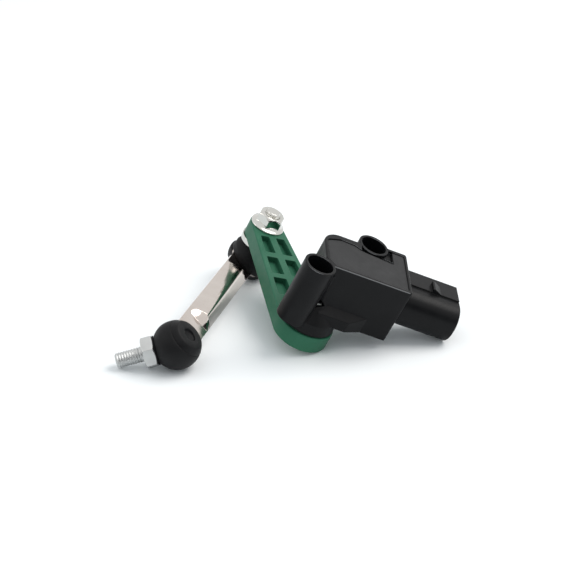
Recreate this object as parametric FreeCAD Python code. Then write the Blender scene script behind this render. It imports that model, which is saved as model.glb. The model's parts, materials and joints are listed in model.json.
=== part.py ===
import FreeCAD, Part
import math
import os

# Ride height sensor: a moulded housing, a lever on its shaft, and a pressed link with a ball
# joint at each end. Millimetres. Design axes: Z runs up the lever shaft from the nose of the
# housing, X towards the connector, and the shaft axis meets the nose at the origin.

V = FreeCAD.Vector

# Fits and gaps
FIT = 0.03            # radial running clearance of turning metal and moulded fits
SEAT = 0.02           # clearance of pieces that are pressed or clipped together
BALL_FIT = 0.03       # ball in its seat
SKIRT_GAP = 0.3       # rubber skirt to the socket it slides over

# Housing body, seen from the cover side
BODY_LEFT, BODY_RIGHT = -5.2, 30.8
BODY_FRONT, BODY_BACK = -4.2, 22.1
BACK_STEP = 18.9      # the back wall behind the shaft
CORNER_X = -2.7       # front left corner, cut off towards the left wall
CORNER_Y = 0.2
BODY_BOTTOM, BODY_TOP = 4.6, 28.9
WALL = 2.4
FLOOR = 2.6
BACK_CORNER_R = 7.0
EDGE_R = 1.2

# Cover
COVER_T = 1.9
COVER_SINK = 0.3      # cover face below the rim of the housing
RIM_W = 1.3
COVER_GAP = 0.1
PAD_DROP = 1.5        # shelf round the rear fixing tube, below the rim
SHELF_X = 24.3
TAB_W, TAB_L = 1.3, 0.9

# Fixing tubes
TUBE_R = 6.24
HOLE_R = 5.2
HOLE_DEPTH = 17.0
FRONT_TUBE = (-8.06, -6.11)
REAR_TUBE = (16.32, 20.5)
FRONT_TUBE_FOOT = 2.9
WEB_W = 7.0
WEB_DROP = 4.0

# Nose with the shaft bearing
NOSE_R = 11.0
NOSE_STRAIGHT = 5.0
NOSE_CONE_TOP = 12.5
BUSH_R = 4.6
BUSH_L = 4.6
SEAL_R = 5.6
SEAL_L = 1.8
SEAL_INSET = 0.4
NEST_R = 4.6          # room for the rotor above the bush
NEST_OVER = 0.2

# Apron beside the nose
APRON_OUT = 3.5
APRON_END, APRON_TOE = 13.0, 20.0
APRON_TOP, APRON_SLOPE = 9.0, 2.5

# Connector
PLUG_Y, PLUG_Z = 9.3, 16.6
PLUG_W, PLUG_H = 21.0, 16.0
PLUG_FLAT = 0.6       # half of the flat left between the rounded corners
PLUG_END = 55.0
PLUG_WALL = 1.7
PLUG_DEPTH = 18.0
LATCH_PAD_T = 0.6
LATCH_PAD_Y0, LATCH_PAD_Y1 = 8.5, 18.0
LATCH_X, LATCH_L, LATCH_H = 42.6, 4.2, 1.6
LATCH_W = 5.5
GUSSET_W, GUSSET_L = 1.0, 2.4
PIN_T = 0.9
PIN_PITCH_Y, PIN_PITCH_Z = 4.2, 4.4
PIN_TIP = 6.0         # pin tips behind the mouth of the connector

# Shaft, rotor and electronics
SHAFT_R = 3.2
CLIP_T, CLIP_R, CLIP_GROOVE = 0.6, 4.3, 0.5
CLIP_LIFT = 0.1
ROTOR_R, ROTOR_T = 4.2, 3.0
ROTOR_LIFT = 0.2
ROTOR_SKIN = 0.5      # rotor floor between shaft and magnet
MAGNET_R0, MAGNET_R1, MAGNET_T = 1.2, 3.6, 1.2
SENSE_GAP = 0.7
CHIP = (3.0, 3.0, 0.8)
BOARD_T = 1.5
BOARD_GAP = 0.4
POST_R = 1.7
TAIL_IN, TAIL_STEP = 2.0, 2.6   # pin tails: behind the wall, and from row to row
TAIL_OUT = 0.8        # pin tails below the board

# Lever
LEVER_C2C = 59.3
LEVER_ANGLE = 104.8
HUB_R, TIP_R = 11.5, 7.3
LEVER_T = 7.0
LEVER_DROP = 0.6      # gap between the nose and the lever
POCKET_DEPTH = 2.6
RIM_T = 2.3
MID_RIB = 3.2
ROW_STARTS = (13.4, 26.8, 40.3)
ROW_LENGTHS = (10.6, 10.4, 10.6)
POCKET_R = 0.6
LEVER_FLAT = 0.5      # edge rounding of the lever

# Ball joints
BALL_R = 5.0
NECK_R = 1.9
THREAD_R = 3.0
BALL_DROP = 18.6      # ball centre below the nose plane
COLLAR_R, COLLAR_T = 7.8, 2.6
STUD_OVER = 1.3       # stud end above the nut
NUT_AF, NUT_H = 10.0, 5.9
NUT_FLANGE_R, NUT_FLANGE_T = 7.1, 1.1
HEX_AF, HEX_T = 11.0, 4.5
HEX_START = 8.4
STUD_TIP = 23.5       # ball centre to the end of the lower stud
SEAT_T = 0.9
SOCKET_R = 8.2
MOUTH_DEG = 57.0
SKIRT_T = 0.8
UPPER_SKIRT_DEG, LOWER_SKIRT_DEG = 73.0, 84.0
LIP_R, LIP_T = 6.0, 0.8
LIP_AT = 7.4
DOME_DEPTH = 7.0
UPPER_DOME_TOP, LOWER_DOME_TOP = 1.9, 4.75      # upper face of the dome, below the ball centre
DIMPLE_R, DIMPLE_DEPTH = 2.8, 0.5

# Link
UPPER_OFFSET, LOWER_OFFSET = 1.5, 5.5   # ball centre to the middle plane of the link's pad
LINK_SPAN = 82.1      # between the pad centres
LINK_AZIMUTH, LINK_PITCH, LINK_ROLL = -110.44, 5.17, 21.84
LINK_LEFT, LINK_RIGHT = 6.7, 4.7      # edges of the strip, from the crest of its ridge
SHEET = 1.4
UPPER_PAD_R, UPPER_PAD_HOLE_R = 8.2, 6.6
LOWER_PAD_R, LOWER_PAD_HOLE_R = 6.7, 4.2
PAD_BLEND = 6.0
CREASE = 13.1
RAMP = 3.4
RIDGE_H = 3.0
RIDGE_R = 0.3         # share of each flank that rounds the crest
STUD_TURN, STUD_TILT = 128.4, 32.2


def vec(x, y, z=0.0):
    return V(x, y, z)


def cyl(r, z0, z1, x=0.0, y=0.0):
    return Part.makeCylinder(r, z1 - z0, vec(x, y, z0))


def box(x0, x1, y0, y1, z0, z1):
    return Part.makeBox(x1 - x0, y1 - y0, z1 - z0, vec(x0, y0, z0))


def one(shape):
    solids = shape.removeSplitter().Solids
    return solids[0] if len(solids) == 1 else Part.makeCompound(solids)


def fuse(first, *rest):
    return one(first.fuse(list(rest)))


def rounded_face(corners, z=0.0):
    """A flat face through (x, y, radius) corners, each corner rounded by its radius."""
    n = len(corners)
    edges = []
    starts = []
    for i, (x, y, r) in enumerate(corners):
        p = vec(x, y, z)
        a = vec(corners[i - 1][0], corners[i - 1][1], z) - p
        b = vec(corners[(i + 1) % n][0], corners[(i + 1) % n][1], z) - p
        a.normalize()
        b.normalize()
        half = a.getAngle(b) / 2
        if r <= 0:
            starts.append((p, p, None))
            continue
        back = r / math.tan(half)
        mid = a + b
        mid.normalize()
        centre = p + mid * (r / math.sin(half))
        starts.append((p + a * back, p + b * back, centre - mid * r))
    for i, (inn, out, mid) in enumerate(starts):
        if mid is not None:
            edges.append(Part.Arc(inn, mid, out).toShape())
        following = starts[(i + 1) % n][0]
        if out.distanceToPoint(following) > 1e-6:
            edges.append(Part.LineSegment(out, following).toShape())
    return Part.Face(Part.Wire(edges))


def prism(corners, z0, z1):
    return rounded_face(corners, z0).extrude(vec(0, 0, z1 - z0))


def revolve(points):
    """A solid turned about Z from (radius, height) points."""
    wire = Part.makePolygon([vec(r, 0, z) for r, z in points] + [vec(points[0][0], 0, points[0][1])])
    return Part.Face(wire).revolve(vec(0, 0), vec(0, 0, 1), 360)


def hexagon(across_flats, z0, z1):
    r = across_flats / math.sqrt(3)
    pts = [vec(r * math.cos(math.radians(60 * k)), r * math.sin(math.radians(60 * k)), z0) for k in range(7)]
    return Part.Face(Part.makePolygon(pts)).extrude(vec(0, 0, z1 - z0))


def frame_of(origin, x_dir, z_dir):
    """Placement whose local X and Z run along the given directions."""
    x, z = V(x_dir), V(z_dir)
    x.normalize()
    z.normalize()
    y = z.cross(x)
    m = FreeCAD.Matrix(x.x, y.x, z.x, origin.x, x.y, y.y, z.y, origin.y, x.z, y.z, z.z, origin.z, 0, 0, 0, 1)
    return FreeCAD.Placement(m)


def placed(shape, placement):
    out = shape.copy()
    out.Placement = placement.multiply(out.Placement)
    return out


# Heights that follow from the sizes above
RIM_TOP = BODY_TOP
COVER_TOP = RIM_TOP - COVER_SINK
COVER_SEAT = COVER_TOP - COVER_T
CAVITY_FLOOR = BODY_BOTTOM + FLOOR
BUSH_Z0 = SEAL_INSET + SEAL_L
BUSH_Z1 = BUSH_Z0 + BUSH_L
CLIP_Z0 = BUSH_Z1 + CLIP_LIFT
CLIP_Z1 = CLIP_Z0 + CLIP_T
ROTOR_Z0 = CLIP_Z1 + ROTOR_LIFT
ROTOR_Z1 = ROTOR_Z0 + ROTOR_T
SHAFT_TOP = ROTOR_Z1 - MAGNET_T - ROTOR_SKIN
CHIP_Z0 = ROTOR_Z1 + SENSE_GAP
BOARD_Z0 = CHIP_Z0 + CHIP[2]
BOARD_Z1 = BOARD_Z0 + BOARD_T
LEVER_TOP = -LEVER_DROP
LEVER_BOTTOM = LEVER_TOP - LEVER_T
HEADING = vec(math.cos(math.radians(LEVER_ANGLE)), math.sin(math.radians(LEVER_ANGLE)))
UPPER_BALL = vec(LEVER_C2C * HEADING.x, LEVER_C2C * HEADING.y, -BALL_DROP)
SKIRT_R0 = SOCKET_R + SKIRT_GAP
SKIRT_R1 = SKIRT_R0 + SKIRT_T
PLUG_TOP = PLUG_Z + PLUG_H / 2
HOLES_MIDDLE = vec((FRONT_TUBE[0] + REAR_TUBE[0]) / 2, (FRONT_TUBE[1] + REAR_TUBE[1]) / 2, BODY_TOP)


def link_axes():
    """Directions along the link, and square to its pads on the lever's side."""
    az, pitch, roll = (math.radians(v) for v in (LINK_AZIMUTH, LINK_PITCH, LINK_ROLL))
    along = vec(math.cos(az) * math.cos(pitch), math.sin(az) * math.cos(pitch), math.sin(pitch))
    up = vec(0, 0, 1) - along * along.z
    up.normalize()
    side = up.cross(along)
    return along, up * math.cos(roll) + side * math.sin(roll)


LINK_X, LINK_Z = link_axes()
LINK_O = UPPER_BALL - LINK_Z * UPPER_OFFSET
LINK_FRAME = frame_of(LINK_O, LINK_X, LINK_Z)
LOWER_BALL = LINK_O + LINK_X * LINK_SPAN - LINK_Z * LOWER_OFFSET


def stud_direction():
    """The lower stud leans from the square of its pad, towards the turn angle round it."""
    side = LINK_Z.cross(LINK_X)
    turn, tilt = math.radians(STUD_TURN), math.radians(STUD_TILT)
    lean = LINK_X * math.cos(turn) + side * math.sin(turn)
    return LINK_Z * -math.cos(tilt) - lean * math.sin(tilt)


STUD_Z = stud_direction()
STUD_FRAME = frame_of(LOWER_BALL, LINK_Z.cross(STUD_Z), STUD_Z)
UPPER_STUD_FRAME = FreeCAD.Placement(UPPER_BALL, FreeCAD.Rotation())
UPPER_SOCKET_FRAME = frame_of(UPPER_BALL, LINK_X, LINK_Z)
LOWER_SOCKET_FRAME = frame_of(LOWER_BALL, LINK_X * -1, LINK_Z * -1)


# Housing

def body_plan(inset=0.0):
    c = inset
    return [
        (CORNER_X + 0.6 * c, BODY_FRONT + c, 0.8),
        (BODY_RIGHT - c, BODY_FRONT + c, EDGE_R),
        (BODY_RIGHT - c, BODY_BACK - c, EDGE_R),
        (REAR_TUBE[0] + 4.0, BODY_BACK - c, 0),
        (REAR_TUBE[0] - 2.5, BACK_STEP - c, 0),
        (BODY_LEFT + c, BACK_STEP - c, BACK_CORNER_R - c),
        (BODY_LEFT + c, CORNER_Y + 0.3 * c, 0.8),
    ]


def cover_plan(gap):
    """Outline of the cover; a larger gap makes a smaller cover, and the groove stays behind it."""
    left = BODY_LEFT + RIM_W + gap
    front = BODY_FRONT + RIM_W + gap
    right = BODY_RIGHT - RIM_W - gap
    back = (BODY_BACK - RIM_W - 0.3) - 4 * gap
    bay = REAR_TUBE[1] - TUBE_R - 0.6 - 4 * gap
    return [
        (CORNER_X + RIM_W + 0.2 + gap, front, 0.6),
        (right, front, 0.8),
        (right, back, 0.8),
        (SHELF_X + gap, back, 0.4),
        (SHELF_X + gap, bay - 0.9, 0),
        (REAR_TUBE[0] - 5.0, bay + 0.3, 1.0),
        (REAR_TUBE[0] - 8.4, bay + 2.2, 1.5),
        (2.0, bay + 2.6, 2.0),
        (left, bay, 2.0),
        (left, CORNER_Y + 0.6 + gap, 0.6),
    ]


def plug_section(inset, x0, x1):
    """Rounded oblong of the connector shroud, between two X stations."""
    w, h = PLUG_W / 2 - inset, PLUG_H / 2 - inset
    r = PLUG_H / 2 - PLUG_FLAT - inset
    shape = prism([(-h, -w, r), (h, -w, r), (h, w, r), (-h, w, r)], 0, x1 - x0)
    return placed(shape, frame_of(vec(x0, PLUG_Y, PLUG_Z), vec(0, 0, -1), vec(1, 0, 0)))


def connector():
    shell = plug_section(0, BODY_RIGHT - 1.0, PLUG_END)
    rim = [e for e in shell.Edges if e.BoundBox.XMin > PLUG_END - 0.01]
    shell = shell.makeChamfer(0.4, rim)
    pad = box(BODY_RIGHT, PLUG_END - 0.5, LATCH_PAD_Y0, LATCH_PAD_Y1, PLUG_TOP - 1.6, PLUG_TOP + LATCH_PAD_T)
    base = PLUG_TOP + LATCH_PAD_T - 0.2
    nose = Part.makePolygon([
        vec(LATCH_X, LATCH_PAD_Y0, base),
        vec(LATCH_X, LATCH_PAD_Y0, base + LATCH_H),
        vec(LATCH_X + 0.8, LATCH_PAD_Y0, base + LATCH_H),
        vec(LATCH_X + LATCH_L, LATCH_PAD_Y0, base),
        vec(LATCH_X, LATCH_PAD_Y0, base),
    ])
    latch = Part.Face(nose).extrude(vec(0, LATCH_W, 0))
    gussets = []
    for y in (PLUG_Y - 4.4, PLUG_Y + 1.4):
        tri = Part.makePolygon([
            vec(BODY_RIGHT - 0.4, y, PLUG_TOP - 0.3),
            vec(BODY_RIGHT - 0.4, y, BODY_TOP - 0.9),
            vec(BODY_RIGHT + GUSSET_L, y, PLUG_TOP - 0.3),
            vec(BODY_RIGHT - 0.4, y, PLUG_TOP - 0.3),
        ])
        gussets.append(Part.Face(tri).extrude(vec(0, GUSSET_W, 0)))
    return fuse(shell, pad, latch, *gussets)


def nose_form():
    return revolve([
        (0, 0),
        (NOSE_R, 0),
        (NOSE_R, NOSE_STRAIGHT),
        (-BODY_FRONT, NOSE_CONE_TOP),
        (0, NOSE_CONE_TOP),
    ])


def apron():
    """Thickened wall beside the nose, with a sloping top and a slanted end."""
    front = BODY_FRONT - APRON_OUT
    low = prism([(0, front, 0), (APRON_END, front, 1.0), (APRON_TOE, BODY_FRONT, 0), (0, BODY_FRONT, 0)],
                BODY_BOTTOM, APRON_TOP + APRON_SLOPE)
    wedge = Part.makePolygon([
        vec(-1, front - 1, APRON_TOP - APRON_SLOPE / APRON_OUT),
        vec(-1, BODY_FRONT, APRON_TOP + APRON_SLOPE),
        vec(-1, front - 1, APRON_TOP + APRON_SLOPE),
        vec(-1, front - 1, APRON_TOP - APRON_SLOPE / APRON_OUT),
    ])
    return low.cut(Part.Face(wedge).extrude(vec(APRON_TOE + 2, 0, 0)))


def web():
    """Wall that ties the front fixing tube to the body."""
    x, y = FRONT_TUBE
    run = vec(-x, -y)
    run.normalize()
    side = vec(-run.y, run.x) * (WEB_W / 2)
    a, b = vec(x, y), vec(0, 0)
    pts = [a + side, b + side, b - side, a - side]
    return prism([(p.x, p.y, 0) for p in pts], FRONT_TUBE_FOOT + 2.0, BODY_TOP - WEB_DROP)


def tube_bore(x, y):
    return cyl(HOLE_R, BODY_TOP - HOLE_DEPTH, BODY_TOP + 1, x, y)


def pin_rows():
    return [(PLUG_Y + k * PIN_PITCH_Y, PLUG_Z + s * PIN_PITCH_Z / 2, s) for s in (-1, 1) for k in (-1, 0, 1)]


def post_places():
    inner = WALL + 0.6
    return [
        (BODY_RIGHT - inner, BODY_FRONT + inner + 0.6),
        (BODY_RIGHT - inner, BODY_BACK - inner - 1.0),
        (NEST_R + POST_R + 2.7, BODY_FRONT + inner),
        (BODY_LEFT + inner + 1.0, BACK_STEP - BACK_CORNER_R + 1.0),
    ]


def housing():
    shell = prism(body_plan(), BODY_BOTTOM, BODY_TOP)
    top = [e for e in shell.Edges if e.BoundBox.ZMin > BODY_TOP - 0.01]
    shell = shell.makeFillet(0.5, top)
    cavity = prism(body_plan(WALL), CAVITY_FLOOR, BODY_TOP + 1)
    bay = prism([
        (REAR_TUBE[0] - 5.6, REAR_TUBE[1] - TUBE_R - 0.5, 0),
        (SHELF_X, REAR_TUBE[1] - TUBE_R - 1.3, 0),
        (SHELF_X, BODY_BACK - RIM_W, 0),
        (REAR_TUBE[0] - 5.6, BODY_BACK - RIM_W, 0),
    ], BODY_TOP - PAD_DROP, BODY_TOP + 1)
    shelf = prism([
        (REAR_TUBE[0] - 9, REAR_TUBE[1] - TUBE_R - 1.9, 0),
        (SHELF_X - 0.02, REAR_TUBE[1] - TUBE_R - 2.6, 0),
        (SHELF_X - 0.02, BODY_BACK - 0.5, 0),
        (REAR_TUBE[0] + 1, BODY_BACK - 0.5, 0),
        (REAR_TUBE[0] - 4, BACK_STEP - 0.5, 0),
        (REAR_TUBE[0] - 9, BACK_STEP - 0.5, 0),
    ], COVER_SEAT - 3.0, COVER_SEAT)
    ledge_cut = prism(cover_plan(0), COVER_SEAT, BODY_TOP + 1)
    hollow = cavity.cut(box(BODY_LEFT - 9, BODY_RIGHT + 9, BODY_FRONT - 9, BODY_BACK + 9, COVER_SEAT, BODY_TOP + 2))
    for x, y in post_places():
        hollow = hollow.cut(cyl(POST_R, 0, BOARD_Z0, x, y))
    hollow = hollow.cut(shelf)
    form = shell.cut(bay)
    fx, fy = FRONT_TUBE
    rx, ry = REAR_TUBE
    form = form.fuse([
        nose_form(),
        apron(),
        web(),
        cyl(TUBE_R, FRONT_TUBE_FOOT, BODY_TOP, fx, fy),
        cyl(TUBE_R, BODY_BOTTOM, BODY_TOP, rx, ry),
        connector(),
    ])
    keep_tube = cyl(TUBE_R, BODY_BOTTOM, BODY_TOP + 2, rx, ry)
    form = form.cut(ledge_cut.cut(keep_tube))
    form = form.cut(hollow.cut(keep_tube).cut(cyl(TUBE_R, 0, BODY_TOP, fx, fy)))
    form = form.cut(tube_bore(fx, fy))
    form = form.cut(tube_bore(rx, ry))
    form = form.cut(cyl(BUSH_R + SEAT, BUSH_Z0, BUSH_Z1))
    form = form.cut(cyl(NEST_R + SEAT, BUSH_Z1 - 0.01, ROTOR_Z1 + NEST_OVER))
    form = form.cut(cyl(SEAL_R + SEAT, -1, BUSH_Z0))
    form = form.cut(plug_section(PLUG_WALL, PLUG_END - PLUG_DEPTH, PLUG_END + 1))
    for y, z, _ in pin_rows():
        h = PIN_T / 2 + SEAT
        form = form.cut(box(BODY_RIGHT - WALL - 3, PLUG_END, y - h, y + h, z - h, z + h))
    pocket = Part.makePolygon([
        vec(-3.0, BODY_FRONT - 6, 9.6),
        vec(1.9, BODY_FRONT - 6, 11.2),
        vec(-1.0, BODY_FRONT - 6, 13.4),
        vec(-3.0, BODY_FRONT - 6, 9.6),
    ])
    dent = Part.Face(pocket).extrude(vec(0, 8.0, 0)).cut(cyl(TUBE_R, 0, BODY_TOP, fx, fy))
    return one(form.cut(dent))


def cover():
    plate = prism(cover_plan(COVER_GAP), COVER_SEAT + SEAT, COVER_TOP)
    plate = plate.cut(cyl(TUBE_R + COVER_GAP, COVER_SEAT, COVER_TOP + 1, REAR_TUBE[0], REAR_TUBE[1]))
    tabs = []
    bay = REAR_TUBE[1] - TUBE_R - 0.6
    for x, y in ((6.5, bay + 1.9), (REAR_TUBE[0] - 4.4, bay - 0.7), (REAR_TUBE[0] + 0.2, bay - 1.0)):
        tabs.append(box(x - TAB_W / 2, x + TAB_W / 2, y, y + TAB_L, COVER_SEAT + SEAT, COVER_TOP - 0.4))
    for x in (27.0, 28.6):
        y = BODY_BACK - RIM_W - 0.3 - 4 * COVER_GAP - 0.3
        tabs.append(box(x - 0.4, x + 0.4, y, y + 0.6, COVER_SEAT + SEAT, COVER_TOP - 0.3))
    return fuse(plate, *tabs)


# Bearing, rotor and electronics

def shaft_bush():
    return cyl(BUSH_R, BUSH_Z0 + SEAT, BUSH_Z1).cut(cyl(SHAFT_R + FIT, 0, BUSH_Z1 + 1))


def shaft_seal():
    z0, z1 = SEAL_INSET, SEAL_INSET + SEAL_L
    ring = revolve([
        (SHAFT_R + 0.1, z0 + 0.9),
        (SHAFT_R + 0.9, z0 + 0.2),
        (SHAFT_R + 1.6, z0),
        (SEAL_R, z0),
        (SEAL_R, z1 - SEAT),
        (SHAFT_R + 0.9, z1 - SEAT),
        (SHAFT_R + 0.9, z1 - 0.8),
        (SHAFT_R + 0.1, z0 + 1.3),
    ])
    return ring


def shaft():
    pin = cyl(SHAFT_R, LEVER_BOTTOM + 1.0, SHAFT_TOP)
    groove = cyl(SHAFT_R + 1, CLIP_Z0, CLIP_Z1).cut(cyl(SHAFT_R - CLIP_GROOVE, 0, CLIP_Z1))
    pin = pin.cut(groove)
    for k in range(12):
        a = math.radians(30 * k)
        spline = cyl(0.5, LEVER_BOTTOM, LEVER_TOP - 1.0, SHAFT_R * math.cos(a), SHAFT_R * math.sin(a))
        pin = pin.cut(spline)
    return one(pin)


def retaining_clip():
    ring = cyl(CLIP_R, CLIP_Z0, CLIP_Z1 - SEAT).cut(cyl(SHAFT_R - CLIP_GROOVE + SEAT, 0, CLIP_Z1 + 1))
    gap = box(0, CLIP_R + 1, -1.6, 1.6, CLIP_Z0 - 1, CLIP_Z1 + 1)
    return one(ring.cut(gap))


def rotor():
    disc = cyl(ROTOR_R, ROTOR_Z0, ROTOR_Z1)
    disc = disc.cut(cyl(SHAFT_R + SEAT, 0, SHAFT_TOP + SEAT))
    cup = cyl(MAGNET_R1 + SEAT, ROTOR_Z1 - MAGNET_T - SEAT, ROTOR_Z1 + 1)
    return one(disc.cut(cup.cut(cyl(MAGNET_R0 - SEAT, ROTOR_Z1 - MAGNET_T - 1, ROTOR_Z1 + 2))))


def magnet():
    return cyl(MAGNET_R1, ROTOR_Z1 - MAGNET_T, ROTOR_Z1).cut(cyl(MAGNET_R0, 0, ROTOR_Z1 + 1))


def circuit_board():
    plate = prism(body_plan(WALL + BOARD_GAP), BOARD_Z0 + SEAT, BOARD_Z1)
    plate = plate.cut(cyl(TUBE_R + BOARD_GAP, 0, BODY_TOP, REAR_TUBE[0], REAR_TUBE[1]))
    plate = plate.cut(cyl(TUBE_R + BOARD_GAP, 0, BODY_TOP, FRONT_TUBE[0], FRONT_TUBE[1]))
    for y, z, s in pin_rows():
        x = pin_tail_x(s)
        h = PIN_T / 2 + SEAT
        plate = plate.cut(box(x - h, x + h, y - h, y + h, BOARD_Z0 - 1, BOARD_Z1 + 1))
    return one(plate)


def hall_sensor():
    w, d, h = CHIP
    return box(-w / 2, w / 2, -d / 2, d / 2, CHIP_Z0, CHIP_Z0 + h)


def pin_tail_x(row):
    """The upper row bends down farther from the wall, past the ends of the lower row."""
    return BODY_RIGHT - WALL - TAIL_IN - (TAIL_STEP if row > 0 else 0.0)


def terminal_pins():
    pins = []
    h = PIN_T / 2
    for y, z, s in pin_rows():
        x = pin_tail_x(s)
        blade = box(x - h, PLUG_END - PIN_TIP, y - h, y + h, z - h, z + h)
        tip = [e for e in blade.Edges if e.BoundBox.XMin > PLUG_END - PIN_TIP - 0.01]
        blade = blade.makeChamfer(0.25, tip)
        tail = box(x - h, x + h, y - h, y + h, BOARD_Z0 - TAIL_OUT, z + h)
        pins.append(fuse(blade, tail))
    return Part.makeCompound(pins)


# Lever

def half_width(s):
    slope = (HUB_R - TIP_R) / LEVER_C2C
    return (HUB_R - s * slope) / math.sqrt(1 - slope * slope)


def lever_outline(z, grow=0.0):
    slope = math.asin((HUB_R - TIP_R) / LEVER_C2C)
    hub, tip = HUB_R + grow, TIP_R + grow
    s, c = math.sin(slope), math.cos(slope)
    h1, h2 = vec(hub * s, hub * c, z), vec(hub * s, -hub * c, z)
    t1, t2 = vec(LEVER_C2C + tip * s, tip * c, z), vec(LEVER_C2C + tip * s, -tip * c, z)
    return Part.Face(Part.Wire([
        Part.Arc(h1, vec(-hub, 0, z), h2).toShape(),
        Part.LineSegment(h2, t2).toShape(),
        Part.Arc(t2, vec(LEVER_C2C + tip, 0, z), t1).toShape(),
        Part.LineSegment(t1, h1).toShape(),
    ]))


def lever():
    arm = lever_outline(LEVER_BOTTOM).extrude(vec(0, 0, LEVER_T))
    rims = [e for e in arm.Edges if e.BoundBox.ZLength < 0.01]
    arm = arm.makeFillet(LEVER_FLAT, rims)
    floor = LEVER_TOP - POCKET_DEPTH
    for start, length in zip(ROW_STARTS, ROW_LENGTHS):
        end = start + length
        inner = MID_RIB / 2
        o1, o2 = half_width(start) - RIM_T, half_width(end) - RIM_T
        if end > LEVER_C2C - TIP_R - 2:
            o2 = o2 - 0.2
        for side in (1, -1):
            pts = [(start, side * inner, POCKET_R), (end, side * inner, POCKET_R),
                   (end, side * o2, POCKET_R), (start, side * o1, POCKET_R)]
            arm = arm.cut(prism(pts, floor, LEVER_TOP + 1))
    under = lever_outline(LEVER_BOTTOM, -RIM_T).extrude(vec(0, 0, 0.8))
    under = under.cut(cyl(SHAFT_R + 3.2, LEVER_BOTTOM - 1, LEVER_BOTTOM + 2))
    under = under.cut(cyl(COLLAR_R + 0.6, LEVER_BOTTOM - 1, LEVER_BOTTOM + 2, LEVER_C2C))
    arm = arm.cut(under)
    arm = arm.cut(cyl(THREAD_R + 0.1, LEVER_BOTTOM - 1, LEVER_TOP + 1, LEVER_C2C))
    arm.rotate(vec(0, 0), vec(0, 0, 1), LEVER_ANGLE)
    return one(arm.cut(shaft()).cut(cyl(SHAFT_R, LEVER_TOP - 1.0, LEVER_TOP + 1)))


def flange_nut():
    z0 = LEVER_TOP
    z1 = z0 + NUT_H
    corner = NUT_AF / math.sqrt(3)
    body = hexagon(NUT_AF, z0, z1)
    cone = revolve([
        (0, z0),
        (corner + 0.1, z0),
        (corner + 0.1, z1 - 1.0),
        (corner - 1.3, z1),
        (0, z1),
    ])
    flange = revolve([
        (0, z0),
        (NUT_FLANGE_R, z0),
        (NUT_FLANGE_R, z0 + 0.5),
        (NUT_FLANGE_R - 0.5, z0 + NUT_FLANGE_T),
        (corner - 0.6, z0 + NUT_FLANGE_T + 1.0),
        (0, z0 + NUT_FLANGE_T + 1.0),
    ])
    nut = body.common(cone).fuse(flange).cut(cyl(THREAD_R + SEAT, z0 - 1, z1 + 1))
    nut = one(nut)
    nut.translate(vec(UPPER_BALL.x, UPPER_BALL.y, 0))
    return nut


# Ball joints

def ball_and_neck(neck_end):
    return Part.makeSphere(BALL_R).fuse(cyl(NECK_R, 0, neck_end))


def threaded_end(start, tip):
    c = 0.6
    return revolve([(0, start), (THREAD_R, start), (THREAD_R, tip - c), (THREAD_R - c, tip), (0, tip)])


def upper_ball_stud():
    seat = BALL_DROP + LEVER_BOTTOM
    collar = revolve([
        (0, seat - COLLAR_T),
        (COLLAR_R - 1.2, seat - COLLAR_T),
        (COLLAR_R, seat - COLLAR_T + 0.5),
        (COLLAR_R, seat),
        (0, seat),
    ])
    tip = BALL_DROP + LEVER_TOP + NUT_H + STUD_OVER
    return placed(fuse(ball_and_neck(seat), collar, threaded_end(seat - 0.1, tip)), UPPER_STUD_FRAME)


def lower_ball_stud():
    corner = HEX_AF / math.sqrt(3)
    end = HEX_START + HEX_T
    c = 0.9
    cone = revolve([
        (0, HEX_START),
        (corner - c, HEX_START),
        (corner, HEX_START + 0.5 * c),
        (corner, end - 0.5 * c),
        (corner - c, end),
        (0, end),
    ])
    head = hexagon(HEX_AF, HEX_START, end).common(cone)
    shoulder = cyl(HEX_AF / 2 - 1.2, LIP_AT + LIP_T + 0.2, HEX_START + 0.1)
    return placed(fuse(ball_and_neck(HEX_START), head, shoulder, threaded_end(end - 0.1, STUD_TIP)), STUD_FRAME)


def arc_points(r, a0, a1, n):
    """(radius, height) points on a sphere about the ball, by the angle from the axis."""
    out = []
    for k in range(n + 1):
        a = math.radians(a0 + (a1 - a0) * k / n)
        out.append((r * math.sin(a), r * math.cos(a)))
    return out


def ball_seat():
    """White plastic liner that grips the ball past its middle."""
    r0, r1 = BALL_R + BALL_FIT, BALL_R + BALL_FIT + SEAT_T
    solid = Part.makeSphere(r1).cut(Part.makeSphere(r0))
    cone = Part.makeCone(0, 12 * math.tan(math.radians(MOUTH_DEG)), 12)
    return one(solid.cut(cone))


def socket(offset, dome_top, pad_r, hole_r):
    """Black socket: a cup over the ball, and a dome that closes it behind the link's pad."""
    seat_r = BALL_R + BALL_FIT + SEAT_T + SEAT
    cup = Part.makeSphere(SOCKET_R).cut(box(-10, 10, -10, 10, -10, -DOME_DEPTH))
    dome = Part.makeSphere(SKIRT_R1).common(cyl(SKIRT_R1 + 1, -DOME_DEPTH, -dome_top))
    body = cup.fuse(dome)
    body = body.cut(Part.makeSphere(seat_r))
    body = body.cut(Part.makeCone(0, 12 * math.tan(math.radians(MOUTH_DEG)), 12))
    body = body.cut(cyl(DIMPLE_R, -DOME_DEPTH - 1, -DOME_DEPTH + DIMPLE_DEPTH))
    sheet = pad(pad_r, hole_r, LINK_LEFT, LINK_RIGHT, SEAT)
    sheet.translate(vec(0, 0, -offset))
    return one(body.cut(sheet))


def upper_socket():
    body = socket(UPPER_OFFSET, UPPER_DOME_TOP, UPPER_PAD_R, UPPER_PAD_HOLE_R)
    return placed(body, UPPER_SOCKET_FRAME)


def lower_socket():
    body = socket(LOWER_OFFSET, LOWER_DOME_TOP, LOWER_PAD_R, LOWER_PAD_HOLE_R)
    return placed(body, LOWER_SOCKET_FRAME)


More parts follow.
